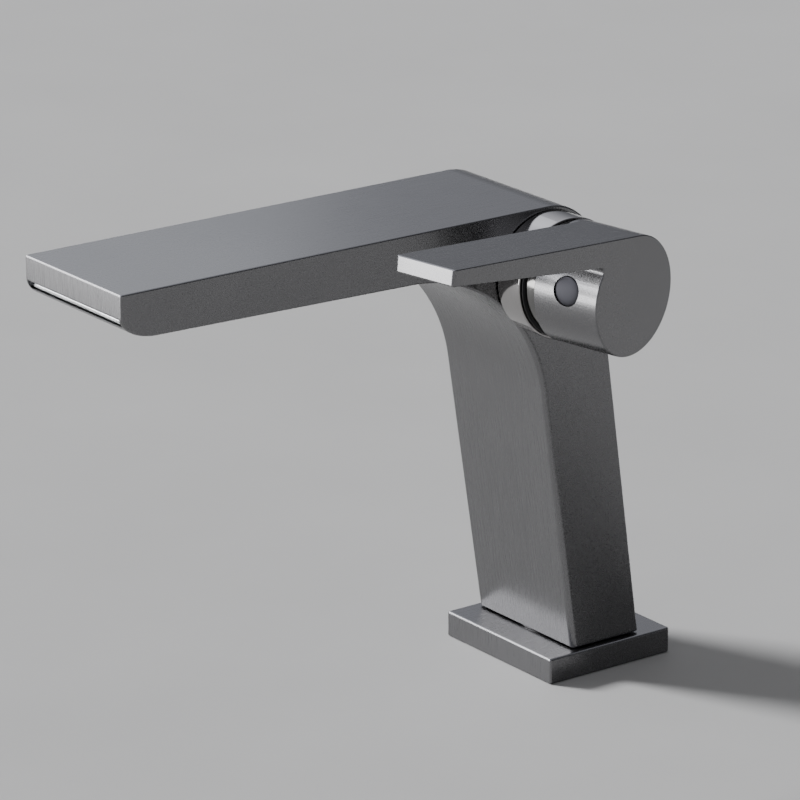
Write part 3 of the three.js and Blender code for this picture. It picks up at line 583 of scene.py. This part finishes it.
def make_body():
    """Column and spout with rounded edges, cartridge chamber, water channel and mouth."""
    body = prism("body_casting", body_outline(), -SPOUT_HALF, SPOUT_HALF)
    for vert in body.data.vertices:
        vert.co.x *= body_half_width(vert.co.z / MM) / SPOUT_HALF
    rounded(body, body_rounding)
    axis = (AXIS_Y, AXIS_Z)
    combine(body, "UNION", [
        rod_between("neck", NECK_RADIUS, (SPOUT_HALF - OVERLAP, *axis), (NECK_END, *axis), BODY_SIDES),
        rod_between(
            "foot", FOOT_RADIUS, (0, 0, FOOT_BOTTOM), (0, 0, FLANGE_HIGH.z + OVERLAP), BODY_SIDES,
        ),
    ])
    nose = -SPOUT_REACH - PAST
    combine(body, "DIFFERENCE", [
        rod_between(
            "chamber", CHAMBER_RADIUS, (CHAMBER_FLOOR, *axis), (NECK_END + PAST, *axis), BODY_SIDES,
        ),
        block("mouth", (-MOUTH_HALF, nose, MOUTH_LOW), (MOUTH_HALF, MOUTH_REAR, MOUTH_HIGH)),
        block(
            "channel",
            (-CHANNEL_HALF, MOUTH_REAR - PAST, CHANNEL_LOW),
            (CHANNEL_HALF, CHANNEL_REAR, CHANNEL_HIGH),
        ),
    ])
    return dress(body, "fixed_body", BODY_METAL, "gunmetal", "faucet_body")


def make_flange():
    """The square plate under the column."""
    half_x, half_y = FLANGE_HIGH.x, FLANGE_HIGH.y
    outline = [(-half_x, -half_y), (half_x, -half_y), (half_x, half_y), (-half_x, half_y)]
    plate = prism("base_plate", outline, 0, FLANGE_HIGH.z, "Z")
    rounded(plate, lambda middle: PLATE_ROUNDING)
    groove = [
        (GROOVE_INNER, -PAST),
        (GROOVE_OUTER, -PAST),
        (GROOVE_OUTER, GROOVE_DEPTH),
        (GROOVE_INNER, GROOVE_DEPTH),
    ]
    combine(plate, "DIFFERENCE", [
        rod_between("hole", FOOT_RADIUS + GAP, (0, 0, -PAST), (0, 0, FLANGE_HIGH.z + PAST), BODY_SIDES),
        turned("groove", groove, axis="Z"),
    ])
    return dress(plate, "fixed_body", BODY_METAL, "gunmetal", "base_flange")


def make_lip():
    """The thin plate that the sheet of water leaves."""
    lip = block("outlet_lip", LIP_LOW, LIP_HIGH, LIP_ROUNDING)
    return dress(lip, "fixed_body", STEEL, "stainless_steel", "waterfall_lip")


# ---------------------------------------------------------------- collar, washer and dome


def make_collar():
    """The satin ring between body and handle, and the black washer on its face."""
    start, end = COLLAR_LOW.x, COLLAR_HIGH.x
    radius = COLLAR_HIGH.z - AXIS_Z
    profile = filleted(
        [(COLLAR_BORE, start), (radius, start), (radius, end), (COLLAR_BORE, end)],
        [0, COLLAR_ROUNDING, COLLAR_ROUNDING, COLLAR_BORE_ROUNDING],
    )
    collar = turned("collar_ring", profile)
    dress(collar, "fixed_body", SATIN_METAL, "satin_metal", "trim_collar", place=CARTRIDGE_FRAME)

    start, end = WASHER_LOW.x, WASHER_HIGH.x
    radius = WASHER_HIGH.z - AXIS_Z
    profile = filleted(
        [(COLLAR_BORE, start), (radius, start), (radius, end), (COLLAR_BORE, end)],
        [0, WASHER_ROUNDING, WASHER_ROUNDING, 0],
    )
    washer = turned("shadow_washer", profile)
    dress(washer, "fixed_body", RUBBER, "black_rubber", "collar_washer", place=CARTRIDGE_FRAME)


def make_dome():
    """A spherical zone about the pivot, with a skirt that screws into the collar."""
    start = WASHER_HIGH.x + GAP
    pivot = PIVOT.x / MM
    inner = DOME_RADIUS - DOME_WALL
    low = math.asin((start - pivot) / DOME_RADIUS)
    high = math.asin(DOME_HEIGHT / DOME_RADIUS)
    outside = arc((0, pivot), (DOME_RADIUS, DOME_RADIUS), low, high, 20)
    inner_high = math.asin(DOME_HEIGHT / inner)
    inner_low = math.asin((start + DOME_WALL - pivot) / inner)
    inside = arc((0, pivot), (inner, inner), inner_high, inner_low, 16)
    profile = outside + inside + [
        (SKIRT_BORE, start + DOME_WALL),
        (SKIRT_BORE, SKIRT_START),
        (COLLAR_BORE - GAP, SKIRT_START),
        (COLLAR_BORE - GAP, start),
    ]
    dome = turned("dome", profile)
    # The dome gets the darkened copy of the satin metal, so its colour carries painted shade.
    return dress(dome, "fixed_body", DOME_PAINTED_SHADE_METAL, "satin_metal", "dome_cover", place=CARTRIDGE_FRAME)


# ---------------------------------------------------------------- handle


def handle_rounding(middle):
    """The tip's upright corners are rounder than the other edges."""
    at_tip = middle.y < 0.1 - BLADE_LENGTH
    at_side = min(abs(middle.x - BLADE_START), abs(middle.x - HUB_END)) < 0.1
    return BLADE_CORNER if at_tip and at_side else HANDLE_ROUNDING


def make_handle():
    """Hub and blade in one piece, with its bore, boss, screw hole and relieved rim."""
    deep = HUB_RADIUS + 5
    hub_end = HUB_END - OVERLAP
    handle = prism("lever_handle", handle_outline(), BLADE_START, HUB_END)
    rounded(handle, handle_rounding)
    hub_profile = filleted(
        [(0, HUB_START), (HUB_RADIUS, HUB_START), (HUB_RADIUS, hub_end), (0, hub_end)],
        [0, 0.3, 0, 0],
    )
    combine(handle, "UNION", [turned("hub", hub_profile, HUB_SIDES)])
    relief = prism(
        "relief",
        [
            (HUB_START - 5, 0),
            (HUB_START, 0),
            (HUB_START + HUB_RELIEF * deep / HUB_RADIUS, deep),
            (HUB_START - 5, deep),
        ],
        -deep,
        deep,
        "Z",
    )
    inside = HUB_END - HUB_WALL
    combine(handle, "DIFFERENCE", [
        rod_between("bore", HUB_BORE, (HUB_START - PAST, 0, 0), (HUB_BORE_DEPTH, 0, 0), HUB_SIDES),
        rod_between("step", STEP_RADIUS, (HUB_BORE_DEPTH - PAST, 0, 0), (inside, 0, 0), BODY_SIDES),
        relief,
    ])
    combine(handle, "UNION", [
        rod_between("boss", BOSS_RADIUS, (BOSS_START, 0, 0), (inside + PAST, 0, 0), SMALL_SIDES),
    ])
    combine(handle, "DIFFERENCE", [
        block("socket", (0, -SOCKET_HALF, -SOCKET_HALF), (SOCKET_END, SOCKET_HALF, SOCKET_HALF)),
        rod_between(
            "screw_hole", SCREW_HOLE_RADIUS, (SCREW_X, -HUB_RADIUS, SCREW_Z), (SCREW_X, 0, SCREW_Z),
        ),
        rod_between(
            "cap_hole", CAP_RADIUS + GAP / 2,
            (SCREW_X, -HUB_RADIUS - OVERLAP, SCREW_Z), (SCREW_X, CAP_HOLE_FLOOR, SCREW_Z), SMALL_SIDES,
        ),
    ])
    dress(handle, "handle_unit", HANDLE_METAL, "gunmetal", "handle", place=HANDLE_FRAME)


def make_cap():
    """The small domed cover over the grub screw."""
    shoulder = CAP_HEIGHT - CAP_SHOULDER
    profile = [(0, 0), (CAP_RADIUS - CAP_CHAMFER, 0), (CAP_RADIUS, CAP_CHAMFER), (CAP_RADIUS, shoulder)]
    profile += [
        (CAP_RADIUS * math.cos(angle), shoulder + CAP_CROWN * math.sin(angle) + CAP_LIFT)
        for angle in (math.radians(step) for step in range(10, 91, 10))
    ]
    cap = turned("cap", profile, SMALL_SIDES, "Z")
    outwards = Matrix.Rotation(math.pi / 2, 4, "X")
    place = Matrix.Translation(Vector((SCREW_X, -HUB_RADIUS + CAP_PROUD + CAP_HEIGHT, SCREW_Z)) * MM)
    dress(cap, "handle_unit", CAP_METAL, "dark_gunmetal", "screw_cap",
          place=HANDLE_FRAME @ place @ outwards)


# ---------------------------------------------------------------- carried-over nodes


def dress_nodes():
    """Gives each shown CAD node the material of its slot."""
    slots = {row["node"]: row["material_slot"] for row in RECORD["subparts"]}
    for name, node in frame["nodes"].items():
        if node.hide_render:
            continue
        node.data.materials.clear()
        node.data.materials.append(SLOT_MATERIALS[slots[name]])


# ---------------------------------------------------------------- stage, light and camera

FLOOR_HALF = 12.0
FLOOR_PALE = ((0.66, 0.66, 0.665), (0.70, 0.70, 0.705))
FLOOR_ROUGHNESS = 0.7
FLOOR_SHEEN = 0.15

ROOM_FILL = 0.18
BACKDROP = 0.48
ROOM_BRIGHT_SIDE = (-0.40, -0.50, 0.85)
ROOM_FADES = (-0.1, 1.0)
ROOM_DIM_AND_BRIGHT = (0.13, 1.68)
ROOM_COLOUR = (0.95, 0.97, 1.06)

KEY_STRENGTH = 4.3
KEY_WIDTH = math.radians(14)
KEY_PLACE = (-1.05, -0.72, 0.80)
LIGHTS_AIM = (0, -0.05, 0.09)

# Each softbox: name, place, what it faces, width and height, radiance and colour.
SOFTBOXES = (
    ("window", (-1.14, -0.60, 0.77), LIGHTS_AIM, (0.60, 0.55), 11.0, (1, 1, 1)),
    ("front_card", (-0.30, -0.62, 0.17), (0, -0.1, 0.12), (0.5, 0.34), 9.5, (1, 1, 1)),
    ("left_card", (-0.48, 0.10, 0.42), (0, -0.15, 0.14), (0.26, 0.3), 0.55, (0.92, 0.96, 1.0)),
)

CAMERA_AZIMUTH = math.radians(53.54)
CAMERA_ELEVATION = math.radians(18.94)
CAMERA_DISTANCE = 1.401
CAMERA_LENS = 219.2
CAMERA_SEES = Vector((0.0, -0.060, 0.075))
CAMERA_RAISE = 0.01308
CAMERA_SIDE = 0.00107
SENSOR_WIDTH = 36.0
CLIP_START = 0.05
CLIP_END = 100.0


def make_floor():
    """A plain pale floor."""
    bm = bmesh.new()
    half = FLOOR_HALF
    corners = [(-half, -half, 0), (half, -half, 0), (half, half, 0), (-half, half, 0)]
    bm.faces.new([bm.verts.new(corner) for corner in corners])
    mesh = bpy.data.meshes.new("floor")
    bm.to_mesh(mesh)
    bm.free()
    floor = bpy.data.objects.new("floor", mesh)
    bpy.context.collection.objects.link(floor)

    graph = Graph("floor")
    cloud = graph.noise(graph.mapped((1, 1, 1)), 9.0, 5.0)
    pale = graph.blend(graph.remap(cloud, 0, 1), *FLOOR_PALE)
    graph.link(pale, graph.shader.inputs["Base Color"])
    graph.shader.inputs["Roughness"].default_value = FLOOR_ROUGHNESS
    graph.shader.inputs["Specular IOR Level"].default_value = FLOOR_SHEEN

    mesh.materials.append(graph.material)


def make_world():
    """An even fill for the floor, and a room that is brighter on its left in reflections."""
    world = bpy.data.worlds.new("studio")
    bpy.context.scene.world = world
    world.use_nodes = True
    tree = world.node_tree
    tree.nodes.clear()
    link = tree.links.new
    output = tree.nodes.new("ShaderNodeOutputWorld")
    mix = tree.nodes.new("ShaderNodeMixShader")
    path = tree.nodes.new("ShaderNodeLightPath")
    fill = tree.nodes.new("ShaderNodeBackground")
    fill.inputs["Color"].default_value = (1, 1, 1, 1)
    seen = tree.nodes.new("ShaderNodeMath")
    seen.operation = "MULTIPLY_ADD"
    seen.inputs[1].default_value = BACKDROP - ROOM_FILL
    seen.inputs[2].default_value = ROOM_FILL
    link(path.outputs["Is Camera Ray"], seen.inputs[0])
    link(seen.outputs["Value"], fill.inputs["Strength"])
    room = tree.nodes.new("ShaderNodeBackground")
    room.inputs["Color"].default_value = (*ROOM_COLOUR, 1)
    direction = tree.nodes.new("ShaderNodeTexCoord")
    towards = tree.nodes.new("ShaderNodeVectorMath")
    towards.operation = "DOT_PRODUCT"
    towards.inputs[1].default_value = Vector(ROOM_BRIGHT_SIDE).normalized()
    link(direction.outputs["Generated"], towards.inputs[0])
    level = tree.nodes.new("ShaderNodeMapRange")
    level.interpolation_type = "SMOOTHSTEP"
    level.inputs["From Min"].default_value, level.inputs["From Max"].default_value = ROOM_FADES
    level.inputs["To Min"].default_value, level.inputs["To Max"].default_value = ROOM_DIM_AND_BRIGHT
    link(towards.outputs["Value"], level.inputs["Value"])
    link(level.outputs["Result"], room.inputs["Strength"])
    link(path.outputs["Is Glossy Ray"], mix.inputs["Fac"])
    link(fill.outputs["Background"], mix.inputs[1])
    link(room.outputs["Background"], mix.inputs[2])
    link(mix.outputs["Shader"], output.inputs["Surface"])


def softbox(name, place, aim, size, radiance, colour):
    """An area light of a given radiance, facing the aim, that only reflections show."""
    light = bpy.data.lights.new(name, "AREA")
    light.shape = "RECTANGLE"
    light.size, light.size_y = size
    light.energy = radiance * math.pi * size[0] * size[1]
    light.color = colour
    lamp = bpy.data.objects.new(name, light)
    bpy.context.collection.objects.link(lamp)
    lamp.location = place
    lamp.rotation_mode = "QUATERNION"
    lamp.rotation_quaternion = (Vector(place) - Vector(aim)).to_track_quat("Z", "Y")
    lamp.visible_camera = False
    lamp.visible_diffuse = False


def make_lights():
    """A soft sun that reflections don't show, and a window and two cards that only they show."""
    sun = bpy.data.lights.new("key", "SUN")
    sun.energy = KEY_STRENGTH
    sun.angle = KEY_WIDTH
    key = bpy.data.objects.new("key", sun)
    bpy.context.collection.objects.link(key)
    key.rotation_mode = "QUATERNION"
    key.rotation_quaternion = (Vector(KEY_PLACE) - Vector(LIGHTS_AIM)).to_track_quat("Z", "Y")
    key.visible_glossy = False
    for name, place, aim, size, radiance, colour in SOFTBOXES:
        softbox(name, place, aim, size, radiance, colour)


def make_camera():
    """The camera, from the front right and a little above."""
    sin_a, cos_a = math.sin(CAMERA_AZIMUTH), math.cos(CAMERA_AZIMUTH)
    sin_e, cos_e = math.sin(CAMERA_ELEVATION), math.cos(CAMERA_ELEVATION)
    back = Vector((sin_a * cos_e, -cos_a * cos_e, sin_e))
    right = Vector((cos_a, sin_a, 0))
    up = back.cross(right)
    data = bpy.data.cameras.new("camera")
    data.lens = CAMERA_LENS
    data.sensor_width = SENSOR_WIDTH
    data.clip_start = CLIP_START
    data.clip_end = CLIP_END
    camera = bpy.data.objects.new("camera", data)
    bpy.context.collection.objects.link(camera)
    camera.location = CAMERA_SEES + back * CAMERA_DISTANCE
    aim = CAMERA_SEES + up * CAMERA_RAISE + right * CAMERA_SIDE
    camera.rotation_mode = "QUATERNION"
    camera.rotation_quaternion = (camera.location - aim).to_track_quat("Z", "Y")
    bpy.context.scene.camera = camera


make_camera()
make_world()
make_lights()
make_floor()
make_body()
make_flange()
make_lip()
make_collar()
make_dome()
make_handle()
make_cap()
dress_nodes()
